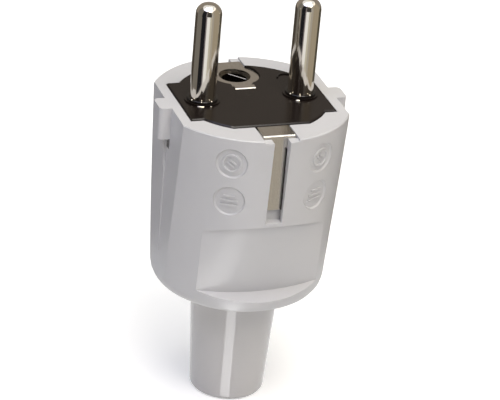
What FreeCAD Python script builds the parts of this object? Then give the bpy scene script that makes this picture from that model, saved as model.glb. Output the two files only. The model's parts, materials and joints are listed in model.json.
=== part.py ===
import FreeCAD, Part
import math
import os

V = FreeCAD.Vector

# All sizes are in millimetres. +Z runs along the pins, X runs along the line of the two pins and
# the origin is the middle of the sleeve's open end, which the plug stands on.

# Contact layout that the socket dictates
pin_pitch = 19.0
pin_diameter = 4.8
pin_length = 19.0
pin_tip_round = 2.0
pin_foot_diameter = 5.4
earth_hole_offset = 10.0
earth_pin_bore = 4.9

# Grey cover: the wall round the insert is measured at the rim
rim_wall = 4.5
cover_end_radius = 16.3
cover_floor = 3.6
cover_end_inset = 2.8
cover_end_rise = 2.8
rim_break = 0.2
flat_wall = 2.0
lower_wall = 3.0
lower_front_wall = 2.8

# Guide block and parting rib on each flat
block_reach = 2.2
block_width = 4.6
block_height = 6.2
block_round = 0.9
rib_width = 0.9
rib_reach = 0.15
rib_fade = 0.1
rib_length = 24.0
root_depth = 0.6
window_width = 4.4
window_height = 2.2

# Scooped finger grip on the front and the back
grip_half_width = 11.8
grip_top_depth = 17.8
grip_low_depth = 34.0
grip_top_sink = 0.6
grip_low_sink = 3.3
grip_top_slope = 25.0
grip_lip_slope = 12.0

# Round marks left bare, two on each side of the front slot
mark_diameter = 5.9
mark_sink = 0.3
mark_angle = 28.0
mark_depths = (5.0, 12.7)

# Dark insert that carries the contacts
insert_proud = 0.3
pin_to_edge = 4.5
insert_front_flat = 12.0
ear_step = 0.1
ear_half_depth = 7.9
face_thickness = 4.3
core_clearance = 0.3
insert_clearance = 0.15
pin_clearance = 0.05
collar_radius = 3.3
collar_height = 0.25
edge_break = 0.2

# Terminal head on the inner end of each pin
head_width = 6.0
head_depth = 7.0
head_height = 9.4
head_corner = 0.4
head_clearance = 0.1
wire_bore = 3.0
wire_bore_length = 7.0
terminal_screw_diameter = 3.2
terminal_screw_length = 3.4
terminal_screw_drop = 6.4
screw_clearance = 0.05
access_diameter = 4.2
slot_width = 0.6
slot_depth = 0.7

# Snap hook of the insert, seen through the window under the block
hook_width = 2.8
hook_height = 1.2
hook_nose = 0.55
hook_slope = 0.7
hook_root = 0.5

# Earth bracket, one folded strip
strip_thickness = 0.6
strip_width = 6.0
bridge_width = 4.0
strip_cover = 2.1
strip_length = 14.8
strip_clearance = 0.12
plate_top = 0.1
bridge_sink = 1.0
jog_lead = 0.5
jog_run = 1.0
jog_roof = 0.45
ring_top = -0.05
ring_radius = 4.6
ring_hole = 6.0
tab_edge = 4.35
bend_radius = 0.45
slot_opening = 3.1
strip_side_gap = 0.3
slot_extra = 2.3
notch_floor = -0.45

# Earth contact tube and its terminal
tube_wall = 0.5
tube_flange = 0.8
tube_flange_thickness = 0.6
tube_length = 16.8
tube_slit_width = 0.7
tube_slit_length = 8.0
tube_end_gap = 1.9
earth_block_width = 6.4
earth_block_front = 2.0
earth_block_height = 5.0
earth_block_rise = 2.5
earth_block_overlap = 1.0
earth_screw_place = 4.4
earth_screw_diameter = 3.0
earth_screw_length = 5.0
clamp_plate_width = 6.2
clamp_plate_length = 5.0
clamp_plate_thickness = 0.8
seat_gap = 0.05

# Wiring chamber in the insert
chamber_half_width = 5.0
chamber_front = 4.6
chamber_back = 6.4
chamber_depth = 5.0

# Rear holder with the cord clamp
holder_thickness = 1.4
holder_clearance = 0.1
holder_screw_x = 5.2
holder_screw_y = 7.2
holder_screw_diameter = 2.8
holder_screw_length = 9.0
pilot_extra = 0.5
screw_head_diameter = 5.0
screw_head_height = 1.7
saddle_half_width = 9.0
saddle_back = 6.0
saddle_front = 0.4
saddle_length = 10.0
saddle_gap = 1.15
saddle_lip = 1.0
cord_space = 8.6
clamp_length = 5.0
clamp_gap = 0.3
clamp_front = 5.6
clamp_round = 1.0
clamp_screw_x = 6.6
clamp_screw_diameter = 2.9
clamp_drop = 5.6
nut_flats = 5.5
nut_height = 2.3

# Soft bend sleeve
sleeve_length = 23.8
sleeve_end_radius = 7.14
sleeve_top_radius = 8.5
sleeve_end_inset = 0.8
sleeve_end_rise = 1.0
sleeve_bore = 9.2
sleeve_neck_radius = 7.3
sleeve_flange_radius = 9.4
sleeve_flange_thickness = 1.5
sleeve_clearance = 0.1
bore_chamfer = 0.3

# Flat steps that stand for the rounding of the cover's and the sleeve's ends
round_steps = 4

# Cuts run this far past the surface that they open, and lengths are compared to this nearness
past = 1.0
nearness = 1e-3

# The pins carry the insert's size, and the insert and its walls carry the cover's
insert_radius = pin_pitch / 2 + pin_to_edge
ear_half_width = insert_radius - ear_step
flat_half_width = ear_half_width + flat_wall
rim_radius = insert_radius + rim_wall
strip_reach = rim_radius - strip_cover
jog_start = insert_front_flat + jog_lead

# The core is as deep as the earth tube needs, and the cover as long as the stack that it holds
core_depth = tube_length + tube_end_gap + strip_thickness + seat_gap - ring_top
floor_stack = cover_floor + sleeve_clearance + sleeve_flange_thickness + saddle_gap
cover_length = floor_stack + saddle_length + holder_thickness + seat_gap + core_depth

# Levels that follow from the sizes above
rim_z = sleeve_length + cover_length
face_z = rim_z + insert_proud
face_under_z = face_z - face_thickness
collar_top_z = face_z + collar_height
core_radius = insert_radius - core_clearance
core_end_z = rim_z - core_depth
holder_top_z = core_end_z - seat_gap
holder_under_z = holder_top_z - holder_thickness
cavity_step_z = holder_under_z - holder_clearance
floor_top_z = sleeve_length + cover_floor
grip_top_z = rim_z - grip_top_depth
grip_low_z = rim_z - grip_low_depth
ring_under_z = rim_z + ring_top - strip_thickness
tube_top_z = ring_under_z - seat_gap
tube_low_z = tube_top_z - tube_length
earth_block_low_z = tube_low_z + earth_block_rise
earth_block_top_z = earth_block_low_z + earth_block_height
head_low_z = face_under_z - head_height
terminal_screw_z = face_under_z - terminal_screw_drop
pin_radius = pin_diameter / 2
foot_radius = pin_foot_diameter / 2
tube_inner = earth_pin_bore / 2
tube_outer = tube_inner + tube_wall
bridge_top = plate_top - bridge_sink
head_centre_x = pin_pitch / 2
clamp_z = holder_under_z - clamp_drop
sides = (-1, 1)


def cylinder(radius, low, high, x=0.0, y=0.0):
    return Part.makeCylinder(radius, high - low, V(x, y, low))


def block(x0, x1, y0, y1, z0, z1):
    return Part.makeBox(x1 - x0, y1 - y0, z1 - z0, V(x0, y0, z0))


def bar_hole(radius, start, direction, length):
    return Part.makeCylinder(radius, length, start, direction)


def prism(points, direction):
    outline = Part.makePolygon(points + [points[0]])
    return Part.Face(outline).extrude(direction)


def upright_edges(shape):
    found = []
    for edge in shape.Edges:
        box = edge.BoundBox
        if box.XLength < nearness and box.YLength < nearness:
            found.append(edge)
    return found


def cover_radius(z):
    share = (z - sleeve_length) / cover_length
    return cover_end_radius + (rim_radius - cover_end_radius) * share


# Arc about the Z axis, the short way round from start to end
def arc_between(start, end, radius):
    middle = V(start.x + end.x, start.y + end.y, 0).normalize() * radius
    return Part.Arc(start, middle + V(0, 0, start.z), end).toShape()


# Points of a quarter ellipse from a flat end out to the wall, turned in a few short cones
def round_end_points(wall_radius, inset, rise, end_z):
    points = []
    for step in range(round_steps + 1):
        turn = math.radians(90.0 * step / round_steps)
        z = end_z + rise * (1 - math.cos(turn))
        points.append(V(wall_radius(z) - inset * (1 - math.sin(turn)), 0, z))
    return points


def turned(edges):
    return Part.Face(Part.Wire(edges)).revolve(V(0, 0, 0), V(0, 0, 1), 360)


# Outline of the insert's face: a round plate, flat in front, with a square-cornered ear each side
def insert_wire(grow, low):
    radius = insert_radius + grow
    flat_y = -insert_front_flat - grow
    flat_x = math.sqrt(radius ** 2 - flat_y ** 2)
    ear_x = ear_half_width + grow
    ear_y = ear_half_depth + grow
    root_x = math.sqrt(radius ** 2 - ear_y ** 2)
    flat_right = V(flat_x, flat_y, low)
    flat_left = V(-flat_x, flat_y, low)
    root_right = V(root_x, -ear_y, low)
    root_left = V(-root_x, -ear_y, low)
    back_right = V(root_x, ear_y, low)
    back_left = V(-root_x, ear_y, low)
    ear_right = [root_right, V(ear_x, -ear_y, low), V(ear_x, ear_y, low), back_right]
    ear_left = [back_left, V(-ear_x, ear_y, low), V(-ear_x, -ear_y, low), root_left]
    edges = [arc_between(flat_right, root_right, radius)]
    edges += Part.makePolygon(ear_right).Edges
    edges.append(arc_between(back_right, back_left, radius))
    edges += Part.makePolygon(ear_left).Edges
    edges.append(arc_between(root_left, flat_left, radius))
    edges.append(Part.makeLine(flat_left, flat_right))
    return Part.Wire(edges)


def insert_outline(grow, low, high):
    return Part.Face(insert_wire(grow, low)).extrude(V(0, 0, high - low))


# Round body below the face, cut flat in front like the face so that it slides in from above
def core_outline(grow, low, high):
    radius = core_radius + grow
    front = -insert_front_flat + core_clearance - grow
    room = block(-radius, radius, front, radius, low, high)
    return cylinder(radius, low, high).common(room)


def cover_body():
    points = [V(0, 0, rim_z), V(0, 0, sleeve_length)]
    points += round_end_points(cover_radius, cover_end_inset, cover_end_rise, sleeve_length)
    points += [
        V(cover_radius(rim_z - rim_break), 0, rim_z - rim_break),
        V(rim_radius - rim_break, 0, rim_z),
        V(0, 0, rim_z),
    ]
    shell = turned(Part.makePolygon(points).Edges)
    reach = 2 * rim_radius
    flats = block(-flat_half_width, flat_half_width, -reach, reach, 0, rim_z)
    return shell.common(flats)


def guide_block(side):
    inner = flat_half_width - root_depth
    outer = flat_half_width + block_reach
    half = block_width / 2
    piece = block(inner, outer, -half, half, rim_z - block_height, rim_z)
    rounded = [e for e in upright_edges(piece) if e.BoundBox.XMin > flat_half_width]
    piece = piece.makeFillet(block_round, rounded)
    return piece if side > 0 else piece.mirror(V(0, 0, 0), V(1, 0, 0))


# Thin rib that fades out below the block
def parting_rib(side):
    inner = flat_half_width - root_depth
    top = rim_z - block_height
    points = [
        V(inner, 0, top),
        V(flat_half_width + rib_reach, 0, top),
        V(flat_half_width + rib_fade, 0, top - rib_length),
        V(inner, 0, top - rib_length),
    ]
    rib = prism(points, V(0, rib_width, 0))
    rib.translate(V(0, -rib_width / 2, 0))
    return rib if side > 0 else rib.mirror(V(0, 0, 0), V(1, 0, 0))


# One section of the finger grip: an arc flatter than the cover, closed well outside it
def grip_section(z, sink):
    radius = cover_radius(z)
    edge_y = -math.sqrt(radius ** 2 - grip_half_width ** 2)
    middle_y = -(radius - sink)
    outside = -2 * rim_radius
    left = V(-grip_half_width, edge_y, z)
    right = V(grip_half_width, edge_y, z)
    arc = Part.Arc(left, V(0, middle_y, z), right).toShape()
    far_right = V(grip_half_width, outside, z)
    far_left = V(-grip_half_width, outside, z)
    sides_and_back = Part.makePolygon([right, far_right, far_left, left])
    return Part.Wire([arc] + sides_and_back.Edges)


# The grip is closed by a sloping step above and a lip that falls outwards below
def grip_cut():
    top = grip_section(grip_top_z, grip_top_sink)
    low = grip_section(grip_low_z, grip_low_sink)
    reach = 2 * rim_radius
    step_rise = math.tan(math.radians(grip_top_slope))
    lip_fall = math.tan(math.radians(grip_lip_slope))
    top_outer = cover_radius(grip_top_z)
    low_outer = cover_radius(grip_low_z)
    left = -grip_half_width - past
    points = [
        V(left, 0, grip_top_z - top_outer * step_rise),
        V(left, -reach, grip_top_z + (reach - top_outer) * step_rise),
        V(left, -reach, grip_low_z - (reach - low_outer) * lip_fall),
        V(left, 0, grip_low_z + low_outer * lip_fall),
    ]
    limits = prism(points, V(-2 * left, 0, 0))
    return Part.makeLoft([low, top], True, True).common(limits)


# Shallow round mark whose floor follows the curve of the cover
def mark_cut(side, depth):
    z = rim_z - depth
    angle = math.radians(mark_angle) * side
    outward = V(math.sin(angle), -math.cos(angle), 0)
    disc = bar_hole(mark_diameter / 2, V(0, 0, z), outward, 2 * rim_radius)
    core = Part.makeCone(cover_end_radius - mark_sink, rim_radius - mark_sink, cover_length,
                         V(0, 0, sleeve_length))
    return disc.cut(core)


# Notch, pocket and open slot for one leg of the earth bracket
def earth_slot_cuts(side):
    half = strip_width / 2 + strip_side_gap
    inner = strip_reach - strip_thickness - strip_clearance
    outer = strip_reach + strip_clearance
    pocket_low = rim_z - strip_length - slot_extra
    above = rim_z + past
    far = 2 * rim_radius
    top = ring_top if side > 0 else plate_top
    plate_floor = rim_z + top - strip_thickness - strip_clearance
    jog_floor = rim_z + bridge_top - strip_thickness - strip_clearance
    jog_seat = block(-half, half, 0, jog_start + 2 * strip_clearance, jog_floor, above)
    notch = block(-half, half, 0, far, rim_z + notch_floor, above)
    seat = block(-half, half, 0, outer, plate_floor, above)
    pocket = block(-half, half, inner, outer, pocket_low, above)
    slot = block(-slot_opening / 2, slot_opening / 2, inner, far, pocket_low, above)
    cuts = [notch, seat, jog_seat, pocket, slot]
    if side > 0:
        return cuts
    return [cut.mirror(V(0, 0, 0), V(0, 1, 0)) for cut in cuts]


def make_cover():
    cover = cover_body()
    for side in sides:
        cover = cover.fuse(guide_block(side))
    cover = cover.removeSplitter()
    above = rim_z + past
    ear_floor = face_under_z - insert_clearance
    cover = cover.cut(insert_outline(insert_clearance, ear_floor, above))
    cover = cover.cut(core_outline(core_clearance, cavity_step_z, above))
    lower_radius = cover_end_radius - lower_wall
    lower_y = cover_radius(grip_low_z) - grip_low_sink - lower_front_wall
    lower = cylinder(lower_radius, floor_top_z, above)
    reach = 2 * lower_radius
    lower = lower.common(block(-reach, reach, -lower_y, lower_y, floor_top_z, above))
    cover = cover.cut(lower)
    cover = cover.cut(cylinder(sleeve_neck_radius + sleeve_clearance, 0, above))
    for side in sides:
        for cut in earth_slot_cuts(side):
            cover = cover.cut(cut)
    grip = grip_cut()
    cover = cover.cut(grip)
    cover = cover.cut(grip.mirror(V(0, 0, 0), V(0, 1, 0)))
    window_top = rim_z - block_height
    for side in sides:
        start = side * core_radius
        end = side * (flat_half_width + block_reach)
        window = block(min(start, end), max(start, end), -window_width / 2, window_width / 2,
                       window_top - window_height, window_top)
        cover = cover.cut(window)
        cover = cover.fuse(parting_rib(side))
        for depth in mark_depths:
            cover = cover.cut(mark_cut(side, depth))
    return cover.removeSplitter()


def insert_hook(side):
    low = rim_z - block_height - window_height + (window_height - hook_height) / 2
    tip = flat_half_width - root_depth - insert_clearance
    root = core_radius - hook_root
    points = [
        V(root, 0, low),
        V(core_radius + hook_nose, 0, low),
        V(tip, 0, low + hook_slope),
        V(tip, 0, low + hook_height),
        V(root, 0, low + hook_height),
    ]
    hook = prism(points, V(0, hook_width, 0))
    hook.translate(V(0, -hook_width / 2, 0))
    return hook if side > 0 else hook.mirror(V(0, 0, 0), V(1, 0, 0))


# Space that the folded earth strip takes in the insert
def bracket_room():
    gap = strip_clearance
    half = strip_width / 2 + gap
    narrow = bridge_width / 2 + gap
    bridge_low = rim_z + bridge_top - strip_thickness - gap
    bridge_high = rim_z + bridge_top + gap
    far = 2 * insert_radius
    above = face_z + past
    jog_end = -jog_start + jog_run + 2 * strip_thickness
    jog = block(-half, half, -far, jog_end, bridge_low, face_z - jog_roof)
    bridge = block(-narrow, narrow, -jog_start, tab_edge + strip_thickness + gap, bridge_low,
                   bridge_high)
    riser = block(-narrow, narrow, tab_edge - 2 * gap, tab_edge + strip_thickness + gap,
                  bridge_low, above)
    ring_low = ring_under_z - gap
    ring = cylinder(ring_radius + gap, ring_low, above, 0, earth_hole_offset)
    tab = block(-narrow, narrow, tab_edge - 2 * gap, earth_hole_offset, ring_low, above)
    back = block(-half, half, earth_hole_offset, far, ring_low, above)
    room = jog
    for piece in (bridge, riser, ring, tab, back):
        room = room.fuse(piece)
    return room


def make_pin_insert():
    face = insert_outline(0, face_under_z, face_z - edge_break)
    broken_edge = [insert_wire(0, face_z - edge_break), insert_wire(-edge_break, face_z)]
    face = face.fuse(Part.makeLoft(broken_edge, True, True))
    for side in sides:
        x = side * head_centre_x
        face = face.fuse(cylinder(collar_radius, face_z - edge_break, collar_top_z, x))
    body = face.fuse(core_outline(0, core_end_z, face_under_z)).removeSplitter()
    below = core_end_z - past
    for side in sides:
        x = side * head_centre_x
        half_x = head_width / 2 + head_clearance
        half_y = head_depth / 2 + head_clearance
        body = body.cut(cylinder(foot_radius + pin_clearance, below, collar_top_z + past, x))
        body = body.cut(block(x - half_x, x + half_x, -half_y, half_y, below, face_under_z))
        start = V(side * (head_centre_x + head_width / 2 - head_clearance), 0, terminal_screw_z)
        body = body.cut(bar_hole(access_diameter / 2, start, V(side, 0, 0), core_radius))
        body = body.fuse(insert_hook(side))
        pilot = holder_screw_diameter / 2 + screw_clearance
        top = holder_under_z + holder_screw_length + pilot_extra
        body = body.cut(cylinder(pilot, below, top, side * holder_screw_x, -holder_screw_y))
    chamber = block(-chamber_half_width, chamber_half_width, -chamber_front, chamber_back, below,
                    rim_z - chamber_depth)
    body = body.cut(chamber)
    above = face_z + past
    tube_room = tube_outer + 2 * seat_gap
    body = body.cut(cylinder(tube_room, below, above, 0, earth_hole_offset))
    flange_low = tube_top_z - tube_flange_thickness - seat_gap
    flange_room = tube_room + tube_flange
    body = body.cut(cylinder(flange_room, flange_low, above, 0, earth_hole_offset))
    half = earth_block_width / 2 + head_clearance
    block_top = earth_block_top_z + head_clearance
    body = body.cut(block(-half, half, 0, earth_hole_offset, below, block_top))
    body = body.cut(bracket_room())
    return body.removeSplitter()


# Solid pin with a rounded tip, one piece with its thicker foot in the face and the square
# terminal head behind it
def make_pin(side):
    x = side * head_centre_x
    tip_z = face_z + pin_length
    shank_top = V(pin_radius, 0, tip_z - pin_tip_round)
    tip_top = V(pin_radius - pin_tip_round, 0, tip_z)
    lean = pin_tip_round * math.sqrt(0.5)
    tip_middle = tip_top + V(lean, 0, lean - pin_tip_round)
    points = [
        tip_top,
        V(0, 0, tip_z),
        V(0, 0, face_under_z),
        V(foot_radius, 0, face_under_z),
        V(foot_radius, 0, collar_top_z),
        V(pin_radius, 0, collar_top_z),
        shank_top,
    ]
    tip = Part.Arc(shank_top, tip_middle, tip_top).toShape()
    pin = turned(Part.makePolygon(points).Edges + [tip])
    pin.translate(V(x, 0, 0))
    half_x = head_width / 2
    half_y = head_depth / 2
    head = block(x - half_x, x + half_x, -half_y, half_y, head_low_z, face_under_z)
    head = head.makeChamfer(head_corner, upright_edges(head))
    pin = pin.fuse(head).removeSplitter()
    pin = pin.cut(cylinder(wire_bore / 2, head_low_z - past, head_low_z + wire_bore_length, x))
    hole_radius = terminal_screw_diameter / 2 + screw_clearance
    return pin.cut(bar_hole(hole_radius, V(x, 0, terminal_screw_z), V(side, 0, 0), head_width))


# Slotted grub screw that presses the wire in the pin's head
def make_terminal_screw(side):
    outer = head_centre_x + head_width / 2 + head_clearance + slot_depth
    start = V(side * outer, 0, terminal_screw_z)
    screw = bar_hole(terminal_screw_diameter / 2, start, V(-side, 0, 0), terminal_screw_length)
    slot_ends = (side * (outer - slot_depth), side * (outer + past))
    reach = terminal_screw_diameter
    low = terminal_screw_z - slot_width / 2
    slot = block(min(slot_ends), max(slot_ends), -reach, reach, low, low + slot_width)
    return screw.cut(slot)


# Outer and inner lines of a strip folded along a path of straight runs in the YZ plane
def offset_path(path, distance):
    points = []
    for i, here in enumerate(path):
        before = path[max(i - 1, 0)]
        after = path[min(i + 1, len(path) - 1)]
        run_in = (here - before) if i > 0 else (after - here)
        run_out = (after - here) if i < len(path) - 1 else run_in
        run_in = V(run_in).normalize()
        run_out = V(run_out).normalize()
        side_in = V(0, -run_in.z, run_in.y)
        side_out = V(0, -run_out.z, run_out.y)
        middle = (side_in + side_out).normalize()
        points.append(here + middle * (distance / middle.dot(side_in)))
    return points


def make_earth_bracket():
    half_t = strip_thickness / 2
    leg = strip_reach - half_t
    low = rim_z - strip_length
    plate = rim_z + plate_top - half_t
    bridge = rim_z + bridge_top - half_t
    ring_level = rim_z + ring_top - half_t
    riser = tab_edge + half_t
    path = [
        V(0, -leg, low),
        V(0, -leg, plate),
        V(0, -jog_start, plate),
        V(0, -jog_start + jog_run, bridge),
        V(0, riser, bridge),
        V(0, riser, ring_level),
        V(0, leg, ring_level),
        V(0, leg, low),
    ]
    outline = offset_path(path, half_t) + offset_path(path, -half_t)[::-1]
    strip = prism(outline, V(strip_width, 0, 0))
    strip.translate(V(-strip_width / 2, 0, 0))
    bends = []
    for edge in strip.Edges:
        box = edge.BoundBox
        if box.XLength < strip_width - nearness or box.ZMax < bridge:
            continue
        at_leg = abs(box.YMin) > leg
        at_riser = abs(box.YMin - tab_edge) < nearness and box.ZMax > ring_level
        if at_leg or at_riser:
            bends.append(edge)
    strip = strip.makeFillet(bend_radius, bends)
    waist_front = -jog_start + jog_run + strip_thickness
    below = bridge - past
    above = face_z + past
    for side in sides:
        ends = (side * bridge_width / 2, side * strip_width)
        waist = block(min(ends), max(ends), waist_front, earth_hole_offset, below, above)
        strip = strip.cut(waist)
    ring = cylinder(ring_radius, ring_under_z, ring_level + half_t, 0, earth_hole_offset)
    strip = strip.fuse(ring).removeSplitter()
    return strip.cut(cylinder(ring_hole / 2, below, above, 0, earth_hole_offset))


# Tube that takes the socket's earth pin, split at its lower end so that it grips
def make_earth_tube():
    tube = cylinder(tube_outer, tube_low_z, tube_top_z, 0, earth_hole_offset)
    flange_low = tube_top_z - tube_flange_thickness
    flange_radius = tube_outer + tube_flange
    tube = tube.fuse(cylinder(flange_radius, flange_low, tube_top_z, 0, earth_hole_offset))
    low = tube_low_z - past
    tube = tube.cut(cylinder(tube_inner, low, tube_top_z + past, 0, earth_hole_offset))
    front = earth_hole_offset - tube_slit_width / 2
    reach = 2 * tube_outer
    slit_top = tube_low_z + tube_slit_length
    slit = block(-reach, reach, front, front + tube_slit_width, low, slit_top)
    return tube.cut(slit).removeSplitter()


# Screw hole through the earth terminal and its clamp plate
def earth_screw_hole():
    radius = earth_screw_diameter / 2 + screw_clearance
    low = earth_block_low_z - seat_gap - clamp_plate_thickness - past
    return cylinder(radius, low, earth_block_top_z + past, 0, earth_screw_place)


def make_earth_terminal():
    half = earth_block_width / 2
    back = earth_hole_offset - earth_block_overlap
    low = earth_block_low_z
    top = earth_block_top_z
    piece = block(-half, half, earth_block_front, back, low, top)
    seat = cylinder(tube_outer + seat_gap, low - past, top + past, 0, earth_hole_offset)
    return piece.cut(seat).cut(earth_screw_hole())


def make_earth_clamp_plate():
    top = earth_block_low_z - seat_gap
    half = clamp_plate_width / 2
    front = earth_screw_place - clamp_plate_length / 2
    back = front + clamp_plate_length
    plate = block(-half, half, front, back, top - clamp_plate_thickness, top)
    return plate.cut(earth_screw_hole())


# Round-headed screw along an axis: head first, shank after it, one straight slot across the head
def headed_screw(seat, direction, shank_diameter, shank_length, cross):
    shank = bar_hole(shank_diameter / 2, seat, direction, shank_length)
    back = V(direction) * -screw_head_height
    head = bar_hole(screw_head_diameter / 2, seat + back, direction, screw_head_height)
    screw = shank.fuse(head).removeSplitter()
    depth = V(direction) * slot_depth
    half = V(cross).cross(direction) * (slot_width / 2)
    reach = V(cross) * screw_head_diameter
    corner = seat + back
    outside = V(direction) * -past
    points = [
        corner + outside - half - reach,
        corner + depth - half - reach,
        corner + depth + half - reach,
        corner + outside + half - reach,
    ]
    return screw.cut(prism(points, reach * 2))


def make_earth_screw():
    low = earth_block_low_z - 2 * seat_gap - clamp_plate_thickness
    seat = V(0, earth_screw_place, low)
    return headed_screw(seat, V(0, 0, 1), earth_screw_diameter, earth_screw_length, V(1, 0, 0))


def make_holder():
    disc = core_outline(-holder_clearance, holder_under_z, holder_top_z)
    saddle_low = holder_under_z - saddle_length
    saddle = block(-saddle_half_width, saddle_half_width, -saddle_front, saddle_back, saddle_low,
                   holder_top_z)
    holder = disc.fuse(saddle).removeSplitter()
    above = holder_top_z + past
    opening = block(-chamber_half_width, chamber_half_width, -chamber_front,
                    saddle_back - saddle_lip, holder_under_z, above)
    holder = holder.cut(opening)
    holder = holder.cut(cylinder(cord_space / 2, saddle_low - past, above))
    for side in sides:
        hole = holder_screw_diameter / 2 + 2 * screw_clearance
        x = side * holder_screw_x
        holder = holder.cut(cylinder(hole, holder_under_z - past, above, x, -holder_screw_y))
        start = V(side * clamp_screw_x, -saddle_back, clamp_z)
        hole = clamp_screw_diameter / 2 + 2 * screw_clearance
        holder = holder.cut(bar_hole(hole, start, V(0, 1, 0), 2 * saddle_back + past))
        pocket_flats = nut_flats + 2 * holder_clearance
        pocket = hexagon(side, pocket_flats, saddle_back - nut_height, nut_height + past)
        holder = holder.cut(pocket)
    return holder


def hexagon(side, flats, start_y, thickness):
    corner = flats / math.sqrt(3)
    points = []
    for i in range(6):
        angle = math.radians(60 * i + 30)
        x = side * clamp_screw_x + corner * math.cos(angle)
        points.append(V(x, start_y, clamp_z + corner * math.sin(angle)))
    return prism(points, V(0, thickness, 0))


def make_clamp_nut(side):
    nut = hexagon(side, nut_flats, saddle_back - nut_height + seat_gap, nut_height)
    hole = clamp_screw_diameter / 2 + screw_clearance
    start = V(side * clamp_screw_x, 0, clamp_z)
    return nut.cut(bar_hole(hole, start, V(0, 1, 0), saddle_back + past))


# Bar that presses the cord into the saddle
def make_cord_clamp():
    low = clamp_z - clamp_length / 2
    high = clamp_z + clamp_length / 2
    back = -saddle_front - clamp_gap
    bar = block(-saddle_half_width, saddle_half_width, -clamp_front, back, low, high)
    front_edges = [e for e in upright_edges(bar) if e.BoundBox.YMin < back - nearness]
    bar = bar.makeFillet(clamp_round, front_edges)
    bar = bar.cut(cylinder(cord_space / 2, low - past, high + past))
    for side in sides:
        start = V(side * clamp_screw_x, -clamp_front - past, clamp_z)
        hole = clamp_screw_diameter / 2 + 2 * screw_clearance
        bar = bar.cut(bar_hole(hole, start, V(0, 1, 0), clamp_front + 2 * past))
    return bar


def make_clamp_screw(side):
    seat = V(side * clamp_screw_x, -clamp_front - seat_gap, clamp_z)
    length = clamp_front + saddle_back
    return headed_screw(seat, V(0, 1, 0), clamp_screw_diameter, length, V(1, 0, 0))


def make_holder_screw(side):
    seat = V(side * holder_screw_x, -holder_screw_y, holder_under_z - seat_gap)
    return headed_screw(seat, V(0, 0, 1), holder_screw_diameter, holder_screw_length, V(1, 0, 0))


# Turned section of the bend sleeve: cone outside, snap groove for the cover's floor at the top
def make_cord_sleeve():
    bore = sleeve_bore / 2
    shoulder_z = sleeve_length - sleeve_clearance
    flange_z = floor_top_z + sleeve_clearance
    top_z = flange_z + sleeve_flange_thickness
    flare = (sleeve_top_radius - sleeve_end_radius) / shoulder_z

    def wall_radius(z):
        return sleeve_end_radius + flare * z

    points = [V(bore + bore_chamfer, 0, 0)]
    points += round_end_points(wall_radius, sleeve_end_inset, sleeve_end_rise, 0)
    points += [
        V(sleeve_top_radius, 0, shoulder_z),
        V(sleeve_neck_radius, 0, shoulder_z),
        V(sleeve_neck_radius, 0, flange_z),
        V(sleeve_flange_radius, 0, flange_z),
        V(sleeve_flange_radius, 0, top_z),
        V(bore, 0, top_z),
        V(bore, 0, bore_chamfer),
        V(bore + bore_chamfer, 0, 0),
    ]
    return turned(Part.makePolygon(points).Edges)


def write(name, shape):
    shape.exportStep("parts/" + name + ".step")
    box = shape.BoundBox
    print(name, "solids", len(shape.Solids), "valid", shape.isValid(),
          "volume %.1f" % shape.Volume, "z %.2f to %.2f" % (box.ZMin, box.ZMax))


os.makedirs("parts", exist_ok=True)
write("cover", make_cover())
write("cord_sleeve", make_cord_sleeve())
write("pin_insert", make_pin_insert())
write("insert_holder", make_holder())
write("earth_bracket", make_earth_bracket())
write("earth_tube", make_earth_tube())
write("earth_terminal", make_earth_terminal())
write("earth_clamp_plate", make_earth_clamp_plate())
write("earth_terminal_screw", make_earth_screw())
write("cord_clamp", make_cord_clamp())
for side, name in ((-1, "left"), (1, "right")):
    write("pin_" + name, make_pin(side))
    write("terminal_screw_" + name, make_terminal_screw(side))
    write("holder_screw_" + name, make_holder_screw(side))
    write("clamp_screw_" + name, make_clamp_screw(side))
    write("clamp_nut_" + name, make_clamp_nut(side))
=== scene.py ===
import bmesh
import bpy
import json
import math
from mathutils import Matrix, Vector


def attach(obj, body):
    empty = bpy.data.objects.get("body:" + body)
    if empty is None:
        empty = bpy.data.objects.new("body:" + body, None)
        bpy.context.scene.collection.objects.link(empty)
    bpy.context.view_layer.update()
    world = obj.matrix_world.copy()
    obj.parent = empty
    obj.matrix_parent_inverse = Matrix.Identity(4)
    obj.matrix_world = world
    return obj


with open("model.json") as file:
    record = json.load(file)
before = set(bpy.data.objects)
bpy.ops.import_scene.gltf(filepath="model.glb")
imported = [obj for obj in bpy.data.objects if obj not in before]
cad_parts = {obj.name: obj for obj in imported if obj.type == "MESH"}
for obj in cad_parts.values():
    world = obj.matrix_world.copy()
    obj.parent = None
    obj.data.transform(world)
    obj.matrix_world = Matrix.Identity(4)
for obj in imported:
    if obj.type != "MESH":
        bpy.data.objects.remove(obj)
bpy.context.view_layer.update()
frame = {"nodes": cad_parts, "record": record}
mm = 0.001
print("frame loaded:", len(frame["nodes"]), "pieces")


# Camera, where the photograph was taken from
photoView = {
    "azimuth": -20.572,      # degrees round the plug, 0 in front
    "elevation": 27.009,
    "roll": 5.233,
    "distance": 456.911 * mm,
    "across": -0.223 * mm,   # how far the camera stands off the line of sight, in the picture's plane
    "upward": -18.798 * mm,
    "aimHeight": 61.0 * mm,
    "lens": 178.87,
    "sensor": 36.0,
}


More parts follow.
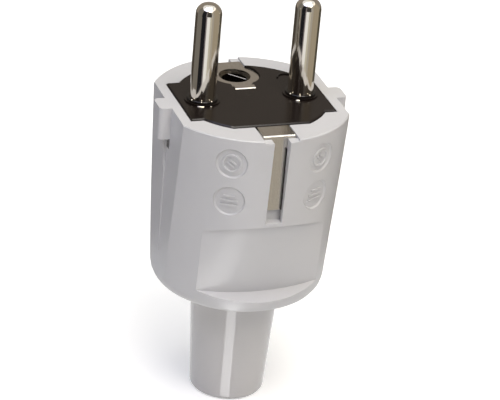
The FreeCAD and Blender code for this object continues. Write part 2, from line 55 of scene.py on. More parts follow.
def addCamera(spec):
    turn = math.radians(spec["azimuth"])
    tilt = math.radians(spec["elevation"])
    roll = math.radians(spec["roll"])
    back = Vector((math.sin(turn) * math.cos(tilt), -math.cos(turn) * math.cos(tilt), math.sin(tilt)))
    level = Vector((math.cos(turn), math.sin(turn), 0.0))
    above = back.cross(level)
    right = level * math.cos(roll) + above * math.sin(roll)
    up = above * math.cos(roll) - level * math.sin(roll)
    data = bpy.data.cameras.new("photoCamera")
    data.lens = spec["lens"]
    data.sensor_width = spec["sensor"]
    camera = bpy.data.objects.new("photoCamera", data)
    bpy.context.scene.collection.objects.link(camera)
    place = back * spec["distance"] + right * spec["across"] + up * spec["upward"]
    place += Vector((0.0, 0.0, spec["aimHeight"]))
    turned = Matrix((right, up, back)).transposed().to_4x4()
    camera.matrix_world = Matrix.Translation(place) @ turned
    bpy.context.scene.camera = camera


addCamera(photoView)
print("camera placed")


# Node helpers
def addNode(tree, kind, **values):
    node = tree.nodes.new(kind)
    for name, value in values.items():
        setattr(node, name, value)
    return node


def setInputs(node, **values):
    for name, value in values.items():
        node.inputs[name].default_value = value


def newGroup(name, inputs, outputs):
    group = bpy.data.node_groups.new(name, "ShaderNodeTree")
    for label, kind, value in inputs:
        socket = group.interface.new_socket(label, in_out="INPUT", socket_type=kind)
        if value is not None:
            socket.default_value = value
    for label, kind in outputs:
        group.interface.new_socket(label, in_out="OUTPUT", socket_type=kind)
    start = group.nodes.new("NodeGroupInput")
    end = group.nodes.new("NodeGroupOutput")
    return group, start, end


# Fine moulded grain: a height for bump and a slow cloudy tone
def makeGrainGroup():
    group, start, end = newGroup(
        "fineGrain",
        [
            ("Vector", "NodeSocketVector", None),
            ("Grain Scale", "NodeSocketFloat", 5000.0),
            ("Cloud Scale", "NodeSocketFloat", 120.0),
        ],
        [("Height", "NodeSocketFloat"), ("Tone", "NodeSocketFloat")],
    )
    links = group.links
    grain = addNode(group, "ShaderNodeTexNoise")
    setInputs(grain, Detail=3.0, Roughness=0.55)
    cloud = addNode(group, "ShaderNodeTexNoise")
    setInputs(cloud, Detail=2.0, Roughness=0.5)
    for node, label in ((grain, "Grain Scale"), (cloud, "Cloud Scale")):
        links.new(start.outputs["Vector"], node.inputs["Vector"])
        links.new(start.outputs[label], node.inputs["Scale"])
    links.new(grain.outputs["Fac"], end.inputs["Height"])
    links.new(cloud.outputs["Fac"], end.inputs["Tone"])
    return group


# Lines of drawn or turned metal: noise stretched along one direction
def makeDrawnGroup():
    group, start, end = newGroup(
        "drawnLines",
        [
            ("Vector", "NodeSocketVector", None),
            ("Stretch", "NodeSocketVector", (1.0, 1.0, 0.04)),
            ("Line Scale", "NodeSocketFloat", 4000.0),
        ],
        [("Height", "NodeSocketFloat")],
    )
    links = group.links
    squeeze = addNode(group, "ShaderNodeVectorMath", operation="MULTIPLY")
    lines = addNode(group, "ShaderNodeTexNoise")
    setInputs(lines, Detail=3.0, Roughness=0.6)
    links.new(start.outputs["Vector"], squeeze.inputs[0])
    links.new(start.outputs["Stretch"], squeeze.inputs[1])
    links.new(squeeze.outputs["Vector"], lines.inputs["Vector"])
    links.new(start.outputs["Line Scale"], lines.inputs["Scale"])
    links.new(lines.outputs["Fac"], end.inputs["Height"])
    return group


fineGrain = makeGrainGroup()
drawnLines = makeDrawnGroup()


def newMaterial(name):
    material = bpy.data.materials.new(name)
    material.use_nodes = True
    tree = material.node_tree
    return material, tree, tree.nodes["Principled BSDF"]


def mixColours(tree, factor, dark, light):
    mix = addNode(tree, "ShaderNodeMix", data_type="RGBA")
    mix.inputs["A"].default_value = (*dark, 1.0)
    mix.inputs["B"].default_value = (*light, 1.0)
    tree.links.new(factor, mix.inputs["Factor"])
    return mix.outputs["Result"]


def rangeOf(tree, factor, low, high):
    node = addNode(tree, "ShaderNodeMapRange")
    setInputs(node, **{"To Min": low, "To Max": high})
    tree.links.new(factor, node.inputs["Value"])
    return node.outputs["Result"]


def addBump(tree, shader, height, distance, strength):
    bump = addNode(tree, "ShaderNodeBump")
    setInputs(bump, Distance=distance, Strength=strength)
    tree.links.new(height, bump.inputs["Height"])
    tree.links.new(bump.outputs["Normal"], shader.inputs["Normal"])


def mouldedPlastic(name, spec):
    material, tree, shader = newMaterial(name)
    place = addNode(tree, "ShaderNodeTexCoord")
    grain = addNode(tree, "ShaderNodeGroup", node_tree=fineGrain)
    setInputs(grain, **{"Grain Scale": spec["grainScale"], "Cloud Scale": spec["cloudScale"]})
    tree.links.new(place.outputs["Object"], grain.inputs["Vector"])
    colour = mixColours(tree, grain.outputs["Tone"], spec["dark"], spec["light"])
    tree.links.new(colour, shader.inputs["Base Color"])
    rough = rangeOf(tree, grain.outputs["Height"], spec["smooth"], spec["rough"])
    tree.links.new(rough, shader.inputs["Roughness"])
    shader.inputs["IOR"].default_value = spec["ior"]
    addBump(tree, shader, grain.outputs["Height"], spec["grainDepth"], spec["grainStrength"])
    return material


def metalFinish(name, spec):
    material, tree, shader = newMaterial(name)
    place = addNode(tree, "ShaderNodeTexCoord")
    lines = addNode(tree, "ShaderNodeGroup", node_tree=drawnLines)
    setInputs(lines, **{"Stretch": spec["stretch"], "Line Scale": spec["lineScale"]})
    tree.links.new(place.outputs["Object"], lines.inputs["Vector"])
    colour = mixColours(tree, lines.outputs["Height"], spec["dark"], spec["light"])
    tree.links.new(colour, shader.inputs["Base Color"])
    shader.inputs["Metallic"].default_value = 1.0
    rough = rangeOf(tree, lines.outputs["Height"], spec["smooth"], spec["rough"])
    tree.links.new(rough, shader.inputs["Roughness"])
    addBump(tree, shader, lines.outputs["Height"], spec["lineDepth"], spec["lineStrength"])
    return material


coverFinish = {
    "dark": (0.585, 0.585, 0.605), "light": (0.625, 0.622, 0.63),
    "smooth": 0.30, "rough": 0.42, "ior": 1.46,
    "grainScale": 5200.0, "cloudScale": 90.0, "grainDepth": 0.02 * mm, "grainStrength": 0.25,
}
sleeveFinish = {
    "dark": (0.595, 0.585, 0.59), "light": (0.635, 0.62, 0.615),
    "smooth": 0.05, "rough": 0.09, "ior": 1.5,
    "grainScale": 2600.0, "cloudScale": 70.0, "grainDepth": 0.01 * mm, "grainStrength": 0.08,
}
insertFinish = {
    "dark": (0.009, 0.0062, 0.0053), "light": (0.014, 0.0100, 0.0083),
    "smooth": 0.13, "rough": 0.25, "ior": 1.39,
    "grainScale": 4200.0, "cloudScale": 150.0, "grainDepth": 0.02 * mm, "grainStrength": 0.3,
}
ringFinish = {
    "dark": (0.006, 0.005, 0.005), "light": (0.010, 0.008, 0.007),
    "smooth": 0.08, "rough": 0.16, "ior": 1.5,
    "grainScale": 4200.0, "cloudScale": 150.0, "grainDepth": 0.01 * mm, "grainStrength": 0.1,
}
# Flat grey of cover in shadow: painted shade for the window under each block
hookShadeFinish = {
    "dark": (0.14, 0.138, 0.145), "light": (0.18, 0.178, 0.185),
    "smooth": 0.4, "rough": 0.55, "ior": 1.45,
    "grainScale": 4200.0, "cloudScale": 150.0, "grainDepth": 0.02 * mm, "grainStrength": 0.3,
}
holderFinish = {
    "dark": (0.42, 0.41, 0.39), "light": (0.50, 0.49, 0.46),
    "smooth": 0.35, "rough": 0.5, "ior": 1.5,
    "grainScale": 4200.0, "cloudScale": 150.0, "grainDepth": 0.02 * mm, "grainStrength": 0.3,
}
pinFinish = {
    "dark": (0.70, 0.66, 0.59), "light": (0.80, 0.76, 0.69), "stretch": (1.0, 1.0, 0.05),
    "smooth": 0.06, "rough": 0.14, "lineScale": 3200.0, "lineDepth": 0.004 * mm, "lineStrength": 0.10,
}
bracketFinish = {
    "dark": (0.66, 0.625, 0.575), "light": (0.76, 0.73, 0.685), "stretch": (1.0, 0.06, 0.06),
    "smooth": 0.16, "rough": 0.28, "lineScale": 3600.0, "lineDepth": 0.006 * mm, "lineStrength": 0.15,
}
# The earth tube's metal is painted dark: painted shade for the unlit inside of the earth hole
tubeShadeFinish = {
    "dark": (0.10, 0.09, 0.075), "light": (0.17, 0.155, 0.13), "stretch": (1.0, 1.0, 0.06),
    "smooth": 0.22, "rough": 0.34, "lineScale": 3600.0, "lineDepth": 0.006 * mm, "lineStrength": 0.15,
}
brassFinish = {
    "dark": (0.62, 0.43, 0.17), "light": (0.72, 0.53, 0.24), "stretch": (1.0, 0.08, 1.0),
    "smooth": 0.24, "rough": 0.36, "lineScale": 3000.0, "lineDepth": 0.006 * mm, "lineStrength": 0.15,
}
steelFinish = {
    "dark": (0.50, 0.50, 0.50), "light": (0.62, 0.62, 0.61), "stretch": (1.0, 1.0, 0.2),
    "smooth": 0.22, "rough": 0.34, "lineScale": 3000.0, "lineDepth": 0.006 * mm, "lineStrength": 0.15,
}
materials = {   # by the record's material slots
    "cover_plastic": mouldedPlastic("coverPlastic", coverFinish),
    "sleeve_plastic": mouldedPlastic("sleevePlastic", sleeveFinish),
    "insert_plastic": mouldedPlastic("insertPlastic", insertFinish),
    "holder_plastic": mouldedPlastic("holderPlastic", holderFinish),
    "pin_metal": metalFinish("pinNickel", pinFinish),
    "bracket_metal": metalFinish("bracketNickel", bracketFinish),
    "tube_metal": metalFinish("tubeShadedMetal", tubeShadeFinish),
    "terminal_brass": metalFinish("terminalBrass", brassFinish),
    "screw_steel": metalFinish("screwSteel", steelFinish),
}
ringMaterial = mouldedPlastic("pinRingGloss", ringFinish)
hookShadeMaterial = mouldedPlastic("hookShadePlastic", hookShadeFinish)
for entry in frame["record"]["subparts"]:
    for holder in frame["nodes"][entry["node"]].material_slots:
        holder.material = materials[entry["material_slot"]]
print("finishes given to the pieces")


# Facets are shaded as one round surface up to this turn between two of them. The cover's limit is
# lower above the rounding of its lower end, so that its flats keep their edges
smoothing = {"mergeWithin": 0.001 * mm, "creaseTurn": 27.0, "coverTurn": 18.5,
             "coverRoundTop": 27.0 * mm}


def makeSmoothGroup(spec):
    group = bpy.data.node_groups.new("smoothRounds", "GeometryNodeTree")
    group.interface.new_socket("Geometry", in_out="INPUT", socket_type="NodeSocketGeometry")
    group.interface.new_socket("Turn Above", in_out="INPUT", socket_type="NodeSocketFloat")
    group.interface.new_socket("Geometry", in_out="OUTPUT", socket_type="NodeSocketGeometry")
    start = group.nodes.new("NodeGroupInput")
    end = group.nodes.new("NodeGroupOutput")
    merge = addNode(group, "GeometryNodeMergeByDistance")
    merge.inputs["Distance"].default_value = spec["mergeWithin"]
    angle = addNode(group, "GeometryNodeInputMeshEdgeAngle")
    crease = addNode(group, "FunctionNodeCompare", data_type="FLOAT", operation="GREATER_THAN")
    place = addNode(group, "GeometryNodeInputPosition")
    apart = addNode(group, "ShaderNodeSeparateXYZ")
    above = addNode(group, "FunctionNodeCompare", data_type="FLOAT", operation="GREATER_THAN")
    above.inputs["B"].default_value = spec["coverRoundTop"]
    choose = addNode(group, "GeometryNodeSwitch", input_type="FLOAT")
    faces = addNode(group, "GeometryNodeSetShadeSmooth", domain="FACE")
    edges = addNode(group, "GeometryNodeSetShadeSmooth", domain="EDGE")
    edges.inputs["Shade Smooth"].default_value = False
    links = group.links
    links.new(start.outputs[0], merge.inputs["Geometry"])
    links.new(merge.outputs["Geometry"], faces.inputs["Geometry"])
    links.new(faces.outputs["Geometry"], edges.inputs["Geometry"])
    links.new(place.outputs["Position"], apart.inputs["Vector"])
    links.new(apart.outputs["Z"], above.inputs["A"])
    links.new(above.outputs["Result"], choose.inputs["Switch"])
    choose.inputs["False"].default_value = math.radians(spec["creaseTurn"])
    links.new(start.outputs["Turn Above"], choose.inputs["True"])
    links.new(choose.outputs["Output"], crease.inputs["B"])
    links.new(angle.outputs["Unsigned Angle"], crease.inputs["A"])
    links.new(crease.outputs["Result"], edges.inputs["Selection"])
    links.new(edges.outputs["Geometry"], end.inputs[0])
    return group


smoothRounds = makeSmoothGroup(smoothing)


def smoothPiece(piece, turnAbove=smoothing["creaseTurn"]):
    rounds = piece.modifiers.new("smoothRounds", "NODES")
    rounds.node_group = smoothRounds
    socket = smoothRounds.interface.items_tree["Turn Above"].identifier
    rounds[socket] = math.radians(turnAbove)
    weigh = piece.modifiers.new("weighNormals", "WEIGHTED_NORMAL")
    weigh.mode = "FACE_AREA_WITH_ANGLE"
    weigh.keep_sharp = True


for nodeName, piece in frame["nodes"].items():
    smoothPiece(piece, smoothing["coverTurn" if nodeName == "cover" else "creaseTurn"])
print("rounds smoothed")


# New pieces: each one's mesh is in place, and its object stays at the origin
nearly = mm / 100        # two heights or places closer than this are the same
doubleWithin = 0.0001 * mm


def linkObject(name, data):
    piece = bpy.data.objects.new(name, data)
    bpy.context.scene.collection.objects.link(piece)
    return piece


def meshFrom(shape, name):
    mesh = bpy.data.meshes.new(name)
    shape.to_mesh(mesh)
    shape.free()
    return mesh


def finishPiece(name, shape, material):
    bmesh.ops.remove_doubles(shape, verts=shape.verts, dist=doubleWithin)
    bmesh.ops.recalc_face_normals(shape, faces=shape.faces)
    mesh = meshFrom(shape, name)
    mesh.materials.append(material)
    piece = linkObject(name, mesh)
    smoothPiece(piece)
    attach(piece, "root")


# Closed outline of (reach, height) points, turned about an upright axis through the origin
def spinOutline(shape, outline, turn=360.0, steps=48):
    corners = []
    for reach, height in outline:
        corners.append(shape.verts.new((reach, 0.0, height)))
    sides = []
    for first, second in zip(corners, corners[1:] + corners[:1]):
        sides.append(shape.edges.new((first, second)))
    whole = turn == 360.0
    made = bmesh.ops.spin(shape, geom=corners + sides, cent=(0, 0, 0), axis=(0, 0, 1),
                          angle=math.radians(turn), steps=steps, use_merge=whole)
    if not whole:
        bmesh.ops.contextual_create(shape, geom=sides)
        last = [part for part in made["geom_last"] if isinstance(part, bmesh.types.BMEdge)]
        bmesh.ops.contextual_create(shape, geom=last)


def boxOutline(spec):
    return [
        (spec["inner"], spec["low"]), (spec["outer"], spec["low"]),
        (spec["outer"], spec["high"]), (spec["inner"], spec["high"]),
    ]


def addBox(shape, low, high):
    size = [b - a for a, b in zip(low, high)]
    middle = [(a + b) / 2 for a, b in zip(low, high)]
    matrix = Matrix.Translation(middle) @ Matrix.Diagonal((*size, 1.0))
    return bmesh.ops.create_cube(shape, size=1.0, matrix=matrix)["verts"]


def bevelEdges(shape, edges, offset, segments=2):
    bmesh.ops.bevel(shape, geom=edges, offset=offset, segments=segments, affect="EDGES",
                    profile=0.5, material=-1)


def turnShape(shape, parts, turn, axis="Z"):
    bmesh.ops.rotate(shape, verts=parts, cent=(0, 0, 0),
                     matrix=Matrix.Rotation(math.radians(turn), 3, axis))


def moveShape(shape, parts, away, turn=0.0):
    turnShape(shape, parts, turn)
    bmesh.ops.translate(shape, verts=parts, vec=away)


# Dark ring moulded up round the foot of each pin, with small bright staking points on its edge
pinRing = {
    "pinPlace": 9.5 * mm, "inner": 2.42 * mm, "outer": 2.86 * mm,
    "low": 61.5 * mm, "high": 62.0 * mm, "edgeRound": 0.14 * mm, "edgeSteps": 3,
}
stakingPoints = {
    "turns": (-61.6, -20.6, 20.4, 118.4, 159.4, 200.4), "reach": 2.76 * mm,
    "height": 61.93 * mm, "radius": 0.2 * mm,
}


def addPinRing(name, side, spec):
    shape = bmesh.new()
    spinOutline(shape, boxOutline(spec))
    tops = []
    for edge in shape.edges:
        atTop = all(abs(end.co.z - spec["high"]) < nearly for end in edge.verts)
        outside = all(end.co.xy.length > (spec["inner"] + spec["outer"]) / 2 for end in edge.verts)
        if atTop and outside:
            tops.append(edge)
    bevelEdges(shape, tops, spec["edgeRound"], spec["edgeSteps"])
    moveShape(shape, shape.verts, (side * spec["pinPlace"], 0.0, 0.0))
    finishPiece(name, shape, ringMaterial)


def addStakingPoints(name, side, spec):
    shape = bmesh.new()
    for degrees in spec["turns"]:
        turn = math.radians(degrees)
        place = Vector((side * pinRing["pinPlace"] + spec["reach"] * math.sin(turn),
                        -spec["reach"] * math.cos(turn), spec["height"]))
        bmesh.ops.create_icosphere(shape, subdivisions=2, radius=spec["radius"],
                                   matrix=Matrix.Translation(place))
    finishPiece(name, shape, materials["pin_metal"])


for sideName, side in (("left", -1), ("right", 1)):
    addPinRing(sideName + "PinRing", side, pinRing)
    addStakingPoints(sideName + "StakingPoints", side, stakingPoints)
print("pin rings made")


# Short bright crimps at the foot of the dark collars, and the turns round the pin that each covers
footCrimps = {
    "left": {"spans": ((-31.0, -12.0), (8.0, 13.0)), "reach": 3.42 * mm,
             "height": 61.31 * mm, "radius": 0.13 * mm},
    "right": {"spans": ((-31.0, -20.0),), "reach": 3.55 * mm,
              "height": 61.33 * mm, "radius": 0.16 * mm},
}
crimpSteps = 6
frontTurn = -90.0        # from +X, where an outline is drawn, to the front, on -Y


def roundOutline(reach, height, radius, corners=8):
    outline = []
    for index in range(corners):
        turn = 2.0 * math.pi * index / corners
        outline.append((reach + radius * math.cos(turn), height + radius * math.sin(turn)))
    return outline


def addFootCrimps(name, side, spec):
    shape = bmesh.new()
    outline = roundOutline(spec["reach"], spec["height"], spec["radius"])
    for start, end in spec["spans"]:
        before = set(shape.verts)
        spinOutline(shape, outline, end - start, crimpSteps)
        made = [corner for corner in shape.verts if corner not in before]
        moveShape(shape, made, (side * pinRing["pinPlace"], 0.0, 0.0), start + frontTurn)
    finishPiece(name, shape, materials["pin_metal"])


addFootCrimps("leftFootCrimps", -1, footCrimps["left"])
addFootCrimps("rightFootCrimps", 1, footCrimps["right"])

# Dark half rim raised behind the right pin: painted shade for the shadowed far wall of a shallow
# round recess in the insert
shadeRim = {
    "place": (9.15 * mm, 6.95 * mm), "inner": 1.5 * mm, "outer": 1.82 * mm,
    "low": 61.2 * mm, "high": 61.52 * mm, "turn": 172.0, "steps": 24,
}


def addShadeRim(spec):
    shape = bmesh.new()
    spinOutline(shape, boxOutline(spec), spec["turn"], spec["steps"])
    moveShape(shape, shape.verts, (*spec["place"], 0.0))
    finishPiece("insertShadeRim", shape, ringMaterial)


addShadeRim(shadeRim)

# Folded lip at the front of the earth ring's tab, where the strip turns down into the insert
tabLip = {
    "halfWidth": 1.98 * mm, "front": 3.2 * mm, "back": 4.7 * mm, "low": 60.8 * mm, "high": 61.47 * mm,
    "noseRound": 0.36 * mm, "noseSteps": 5, "backRound": 0.1 * mm,
}


def addTabLip(spec):
    shape = bmesh.new()
    addBox(shape, (-spec["halfWidth"], spec["front"], spec["low"]),
           (spec["halfWidth"], spec["back"], spec["high"]))
    nose = []
    rear = []
    for edge in shape.edges:
        middle = (edge.verts[0].co + edge.verts[1].co) / 2
        if abs(middle.x) < nearly and middle.z > spec["low"] + nearly:
            (nose if middle.y < spec["back"] - nearly else rear).append(edge)
    bevelEdges(shape, nose, spec["noseRound"], spec["noseSteps"])
    bevelEdges(shape, [edge for edge in rear if edge.is_valid], spec["backRound"])
    finishPiece("earthTabLip", shape, materials["bracket_metal"])


addTabLip(tabLip)

# Spring wire across one side of the earth hole, which presses on the socket's pin
springWire = {
    "tubePlace": 10.0 * mm, "turn": 43.0, "reach": 1.1 * mm, "height": 60.3 * mm,
    "halfLength": 1.95 * mm, "radius": 0.11 * mm, "sides": 14,
}


def addSpringWire(spec):
    shape = bmesh.new()
    bmesh.ops.create_cone(shape, cap_ends=True, segments=spec["sides"], radius1=spec["radius"],
                          radius2=spec["radius"], depth=2 * spec["halfLength"])
    turnShape(shape, shape.verts, 90.0, "X")
    bmesh.ops.translate(shape, verts=shape.verts, vec=(spec["reach"], 0.0, spec["height"]))
    moveShape(shape, shape.verts, (0.0, spec["tubePlace"], 0.0), spec["turn"])
    finishPiece("earthSpringWire", shape, materials["pin_metal"])


addSpringWire(springWire)
print("contact details made")


# Dark ribs of insert plastic along both edges of the slot, added to darken the gap beside the earth
# strip: painted shade of that gap
slotShadeRib = {
    "inside": 1.26 * mm, "outside": 1.54 * mm, "back": 16.3 * mm, "front": 16.75 * mm,
    "low": 46.3 * mm, "high": 58.6 * mm, "edgeRound": 0.06 * mm,
}


def addSlotShadeRibs(name, side, spec):
    shape = bmesh.new()
    reaches = sorted((side * spec["back"], side * spec["front"]))
    for low, high in ((-spec["outside"], -spec["inside"]), (spec["inside"], spec["outside"])):
        addBox(shape, (low, reaches[0], spec["low"]), (high, reaches[1], spec["high"]))
    bevelEdges(shape, list(shape.edges), spec["edgeRound"])
    finishPiece(name, shape, materials["insert_plastic"])


addSlotShadeRibs("frontSlotShadeRibs", -1, slotShadeRib)
addSlotShadeRibs("backSlotShadeRibs", 1, slotShadeRib)

# Parting rib below each block, taller near the block and fading down the flat
partingRib = {
    "halfWidth": 0.47 * mm, "edgeRound": 0.05 * mm, "flat": 15.7 * mm,
    "outline": ((15.6, 54.75), (16.42, 54.75), (16.4, 49.6), (16.12, 47.6),
                (16.04, 31.0), (15.6, 31.0)),
}


def addPartingRib(name, side, spec):
    shape = bmesh.new()
    corners = []
    for reach, height in spec["outline"]:
        corners.append(shape.verts.new((side * reach * mm, -spec["halfWidth"], height * mm)))
    outline = shape.faces.new(corners)
    far = bmesh.ops.extrude_face_region(shape, geom=[outline], use_keep_orig=True)["geom"]
    moved = [part for part in far if isinstance(part, bmesh.types.BMVert)]
    bmesh.ops.translate(shape, verts=moved, vec=(0.0, 2 * spec["halfWidth"], 0.0))
    outer = []
    for edge in shape.edges:
        first, second = edge.verts
        proud = min(abs(first.co.x), abs(second.co.x)) > spec["flat"]
        if proud and abs(first.co.y - second.co.y) < nearly:
            outer.append(edge)
    bevelEdges(shape, outer, spec["edgeRound"])
    finishPiece(name, shape, materials["cover_plastic"])


# End of the insert's snap hook, in the window on each side of the rib, coloured the grey of cover in
# shadow: painted shade under the block
shadedHookEnd = {
    "depth": 15.72 * mm, "back": 15.2 * mm, "halfWidth": 2.15 * mm,
    "low": 52.65 * mm, "high": 54.78 * mm, "edgeRound": 0.12 * mm,
}


def addShadedHookEnd(name, side, spec):
    shape = bmesh.new()
    reaches = sorted((side * spec["back"], side * spec["depth"]))
    addBox(shape, (reaches[0], -spec["halfWidth"], spec["low"]),
           (reaches[1], spec["halfWidth"], spec["high"]))
    bevelEdges(shape, list(shape.edges), spec["edgeRound"])
    finishPiece(name, shape, hookShadeMaterial)


for sideName, side in (("left", -1), ("right", 1)):
    addPartingRib(sideName + "PartingRib", side, partingRib)
    addShadedHookEnd(sideName + "ShadedHookEnd", side, shadedHookEnd)
print("slots and flats dressed")


# Round marks: a sloping border inside each sunk disc, a thin ring and plain ribs, all on its floor
roundMarks = {
    "turn": 28.0, "depths": (5.0 * mm, 12.7 * mm), "rim": 61.0 * mm, "rimRadius": 18.5 * mm,
    "taper": 2.2 / 37.2, "sink": 0.3 * mm, "radius": 2.93 * mm, "borderWidth": 0.24 * mm,
    "borderHeight": 0.285 * mm, "underFloor": 0.04 * mm, "steps": 40,
    "ring": {"inner": 1.5 * mm, "outer": 1.8 * mm, "height": 0.26 * mm, "slope": 0.1 * mm},
}
markRibs = {   # middle, length and tilt of each plain rib
    "upper": {"ribs": (((0.22, 0.28), 1.5, -38.0), ((-0.22, -0.28), 1.5, -38.0)),
              "width": 0.3 * mm, "height": 0.26 * mm, "cuts": 3},
    "lower": {"ribs": (((0.0, 1.0), 2.2, 0.0), ((0.0, 0.05), 3.2, 0.0), ((0.0, -0.9), 3.2, 0.0)),
              "width": 0.34 * mm, "height": 0.22 * mm, "cuts": 3},
}


def addRib(shape, middle, length, tilt, spec):
    made = addBox(shape, (-length * mm / 2, -spec["width"] / 2, -roundMarks["underFloor"]),
                  (length * mm / 2, spec["width"] / 2, spec["height"]))
    moveShape(shape, made, (middle[0] * mm, middle[1] * mm, 0.0), tilt)
    own = [edge for edge in shape.edges if edge.verts[0] in made]
    along = [edge for edge in own if edge.calc_length() > length * mm - nearly]
    bmesh.ops.subdivide_edges(shape, edges=along, cuts=spec["cuts"], use_grid_fill=True)


# From a mark's flat drawing to the cover's cone: x runs round it, y up it and z out of the floor
def wrapOnCover(shape, turn, depth, spec):
    for corner in shape.verts:
        height = spec["rim"] - depth + corner.co.y
        reach = spec["rimRadius"] - (depth - corner.co.y) * spec["taper"]
        around = math.radians(turn) + corner.co.x / reach
        out = reach - spec["sink"] + corner.co.z
        corner.co = (out * math.sin(around), -out * math.cos(around), height)


def addMark(name, turn, depth, ribs, withRing, spec):
    shape = bmesh.new()
    edge, under = spec["radius"], -spec["underFloor"]
    inside = edge - spec["borderWidth"]
    border = [(inside, under), (edge, under), (edge, spec["borderHeight"]), (inside, 0.0)]
    spinOutline(shape, border, steps=spec["steps"])
    if withRing:
        ring = spec["ring"]
        outline = [
            (ring["inner"] - ring["slope"], under), (ring["outer"] + ring["slope"], under),
            (ring["outer"], ring["height"]), (ring["inner"], ring["height"]),
        ]
        spinOutline(shape, outline, steps=spec["steps"])
    for middle, length, tilt in ribs["ribs"]:
        addRib(shape, middle, length, tilt, ribs)
    wrapOnCover(shape, turn, depth, spec)
    finishPiece(name, shape, materials["cover_plastic"])


for sideName, side in (("Left", -1), ("Right", 1)):
    for levelName, depth in zip(("upper", "lower"), roundMarks["depths"]):
        addMark(levelName + sideName + "Mark", side * roundMarks["turn"], depth,
                markRibs[levelName], levelName == "upper", roundMarks)
print("round marks made")


# Studio
studio = {
    "floorSize": 3.0,
    "floorColour": (0.80, 0.80, 0.80),
    "floorLift": 0.45,           # added where the camera looks straight at the floor
    "worldColour": (0.96, 0.965, 1.0),
    "worldStrength": 0.18,       # soft light from all round
    "backgroundColour": (1.0, 1.0, 1.0),
}


def largerOf(tree, first, second):
    larger = addNode(tree, "ShaderNodeMath", operation="MAXIMUM")
    tree.links.new(first, larger.inputs[0])
    tree.links.new(second, larger.inputs[1])
    return larger.outputs[0]


def mixShaders(tree, factor, first, second):
    mix = addNode(tree, "ShaderNodeMixShader")
    for index, source in enumerate((factor, first, second)):
        tree.links.new(source, mix.inputs[index])
    return mix.outputs[0]


def addFloor(spec):
    shape = bmesh.new()
    bmesh.ops.create_grid(shape, x_segments=1, y_segments=1, size=spec["floorSize"] / 2)
    mesh = meshFrom(shape, "studioFloor")
    material, tree, shader = newMaterial("floorPaper")
    tree.nodes.remove(shader)
    paper = addNode(tree, "ShaderNodeBsdfDiffuse")
    paper.inputs["Color"].default_value = (*spec["floorColour"], 1.0)
    lift = addNode(tree, "ShaderNodeEmission")
    lift.inputs["Strength"].default_value = spec["floorLift"]
    white = addNode(tree, "ShaderNodeEmission")
    lifted = addNode(tree, "ShaderNodeAddShader")
    tree.links.new(paper.outputs[0], lifted.inputs[0])
    tree.links.new(lift.outputs[0], lifted.inputs[1])
    rays = addNode(tree, "ShaderNodeLightPath").outputs
    seen = mixShaders(tree, rays["Is Camera Ray"], paper.outputs[0], lifted.outputs[0])
    mirrored = largerOf(tree, rays["Is Glossy Ray"], rays["Is Transmission Ray"])
    surface = mixShaders(tree, mirrored, seen, white.outputs[0])
    tree.links.new(surface, tree.nodes["Material Output"].inputs["Surface"])
    mesh.materials.append(material)
    floor = linkObject("studioFloor", mesh)


# Cards round the plug, seen only in polished surfaces. Each is a strip of the studio between two
# turns from the camera's side (to the right is more), on the floor, on the wall, or both
cardRoom = {"nearReach": 0.062, "farReach": 0.55, "wallTop": 0.62, "topReach": 0.495,
            "offFloor": 0.001, "stepTurn": 6.0}
studioCards = {
    "blackCard": {"turns": (-56, -20), "parts": "both", "colour": (0.015, 0.015, 0.018)},
    "shadeCard": {"turns": (-20, -11), "parts": "both", "colour": (0.26, 0.235, 0.25)},
    "leftCard": {"turns": (-108, -56), "parts": "both", "colour": (0.20, 0.185, 0.165)},
    "rearLeftFloor": {"turns": (-180, -108), "parts": "floor", "colour": (0.07, 0.06, 0.05)},
    "frontWall": {"turns": (-11, 30), "parts": "wall", "colour": (0.06, 0.055, 0.05)},
    "fadeCard": {"turns": (15, 32), "parts": "floor", "colour": (0.60, 0.57, 0.48)},
    "midCard": {"turns": (32, 50), "parts": "both", "colour": (0.45, 0.415, 0.36)},
    "rightCard": {"turns": (50, 112), "parts": "both", "colour": (0.40, 0.345, 0.26)},
    "rearRightFloor": {"turns": (112, 180), "parts": "floor", "colour": (0.09, 0.08, 0.06)},
    "rearWall": {"turns": (112, 252), "parts": "wall", "colour": (0.305, 0.27, 0.23)},
}


def addGlossOnly(name, shape, colour, strength=1.0):
    material, tree, shader = newMaterial(name + "Glow")
    tree.nodes.remove(shader)
    glow = addNode(tree, "ShaderNodeEmission")
    glow.inputs["Color"].default_value = (*colour, 1.0)
    glow.inputs["Strength"].default_value = strength
    tree.links.new(glow.outputs[0], tree.nodes["Material Output"].inputs["Surface"])
    mesh = meshFrom(shape, name)
    mesh.materials.append(material)
    piece = linkObject(name, mesh)
    piece.visible_camera = False
    piece.visible_diffuse = False
    piece.visible_shadow = False
    piece.visible_transmission = False


def addCard(name, spec, room):
    start, end = spec["turns"]
    floorLine = [(room["nearReach"], room["offFloor"]), (room["farReach"], room["offFloor"])]
    wallLine = [(room["farReach"], room["offFloor"]), (room["topReach"], room["wallTop"])]
    shape = bmesh.new()
    corners = []
    lines = {"floor": floorLine, "wall": wallLine, "both": floorLine + wallLine}
    for reach, height in lines[spec["parts"]]:
        corners.append(shape.verts.new((0.0, -reach, height)))
    rails = []
    for first, second in zip(corners[::2], corners[1::2]):
        rails.append(shape.edges.new((first, second)))
    turnShape(shape, shape.verts, photoView["azimuth"] + start)
    steps = max(2, round((end - start) / room["stepTurn"]))
    bmesh.ops.spin(shape, geom=corners + rails, cent=(0, 0, 0), axis=(0, 0, 1),
                   angle=math.radians(end - start), steps=steps)
    addGlossOnly(name, shape, spec["colour"])


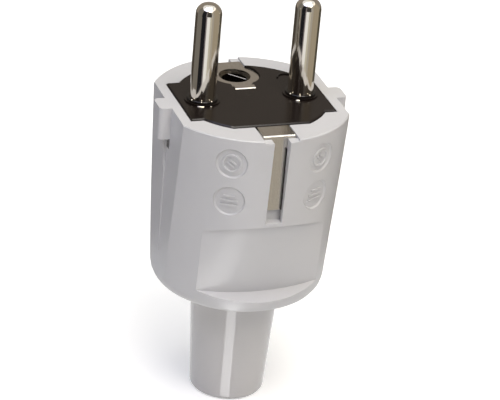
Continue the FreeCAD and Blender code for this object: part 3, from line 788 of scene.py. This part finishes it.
# The camera and polished surfaces see plain white, and everything else the soft light
def addWorld(spec):
    world = bpy.data.worlds.new("studioWorld")
    world.use_nodes = True
    tree = world.node_tree
    soft = tree.nodes["Background"]
    soft.inputs["Color"].default_value = (*spec["worldColour"], 1.0)
    soft.inputs["Strength"].default_value = spec["worldStrength"]
    white = addNode(tree, "ShaderNodeBackground")
    white.inputs["Color"].default_value = (*spec["backgroundColour"], 1.0)
    rays = addNode(tree, "ShaderNodeLightPath").outputs
    seen = largerOf(tree, rays["Is Camera Ray"], rays["Is Glossy Ray"])
    seen = largerOf(tree, seen, rays["Is Transmission Ray"])
    surface = mixShaders(tree, seen, soft.outputs[0], white.outputs[0])
    tree.links.new(surface, tree.nodes["World Output"].inputs["Surface"])
    bpy.context.scene.world = world


# Soft lamps: where each hangs round the plug, how large it is and how strong
lamps = {
    "topLamp": {"azimuth": 0.0, "elevation": 85.0, "distance": 1.0, "size": 0.6, "power": 4.75,
                "colour": (1.0, 0.98, 0.86)},
    "keyLamp": {"azimuth": 3.0, "elevation": 56.0, "distance": 1.0, "size": 0.6, "power": 5.85,
                "colour": (1.0, 0.945, 0.88)},
    "leftLamp": {"azimuth": -70.0, "elevation": 58.0, "distance": 1.0, "size": 0.6, "power": 1.8,
                 "colour": (0.60, 0.65, 1.0)},
    "rightLamp": {"azimuth": 80.0, "elevation": 42.0, "distance": 1.0, "size": 0.6, "power": 0.7,
                  "colour": (1.0, 0.78, 0.52)},
}


def addLamp(name, spec):
    data = bpy.data.lights.new(name, "AREA")
    data.shape = "SQUARE"
    data.size = spec["size"]
    data.energy = spec["power"]
    data.color = spec["colour"]
    lamp = linkObject(name, data)
    turn = math.radians(spec["azimuth"])
    tilt = math.radians(spec["elevation"])
    away = Vector((math.sin(turn) * math.cos(tilt), -math.cos(turn) * math.cos(tilt), math.sin(tilt)))
    lamp.location = Vector((0.0, 0.0, photoView["aimHeight"])) + away * spec["distance"]
    lamp.rotation_mode = "QUATERNION"
    lamp.rotation_quaternion = away.to_track_quat("Z", "Y")


# Bright strip on the floor close in front, seen only as the upright glint on the sleeve and grip
glintStrip = {
    "near": 7.7 * mm, "nearHalfTurn": 8.4, "far": 50.0 * mm, "farHalfTurn": 11.6,
    "height": 0.2 * mm, "colour": (1.0, 1.0, 1.0), "strength": 5.6,
}


def addGlintStrip(spec):
    shape = bmesh.new()
    near = spec["near"] * math.tan(math.radians(spec["nearHalfTurn"]))
    far = spec["far"] * math.tan(math.radians(spec["farHalfTurn"]))
    ends = ((-near, spec["near"]), (near, spec["near"]), (far, spec["far"]), (-far, spec["far"]))
    corners = []
    for side, reach in ends:
        corners.append(shape.verts.new((side, -reach, spec["height"])))
    shape.faces.new(corners)
    turnShape(shape, shape.verts, photoView["azimuth"])
    addGlossOnly("glintStrip", shape, spec["colour"], spec["strength"])


addFloor(studio)
addWorld(studio)
for lampName, lampSpec in lamps.items():
    addLamp(lampName, lampSpec)
addGlintStrip(glintStrip)
for cardName, cardSpec in studioCards.items():
    addCard(cardName, cardSpec, cardRoom)
bpy.context.scene.view_settings.view_transform = "Standard"
print("studio built")
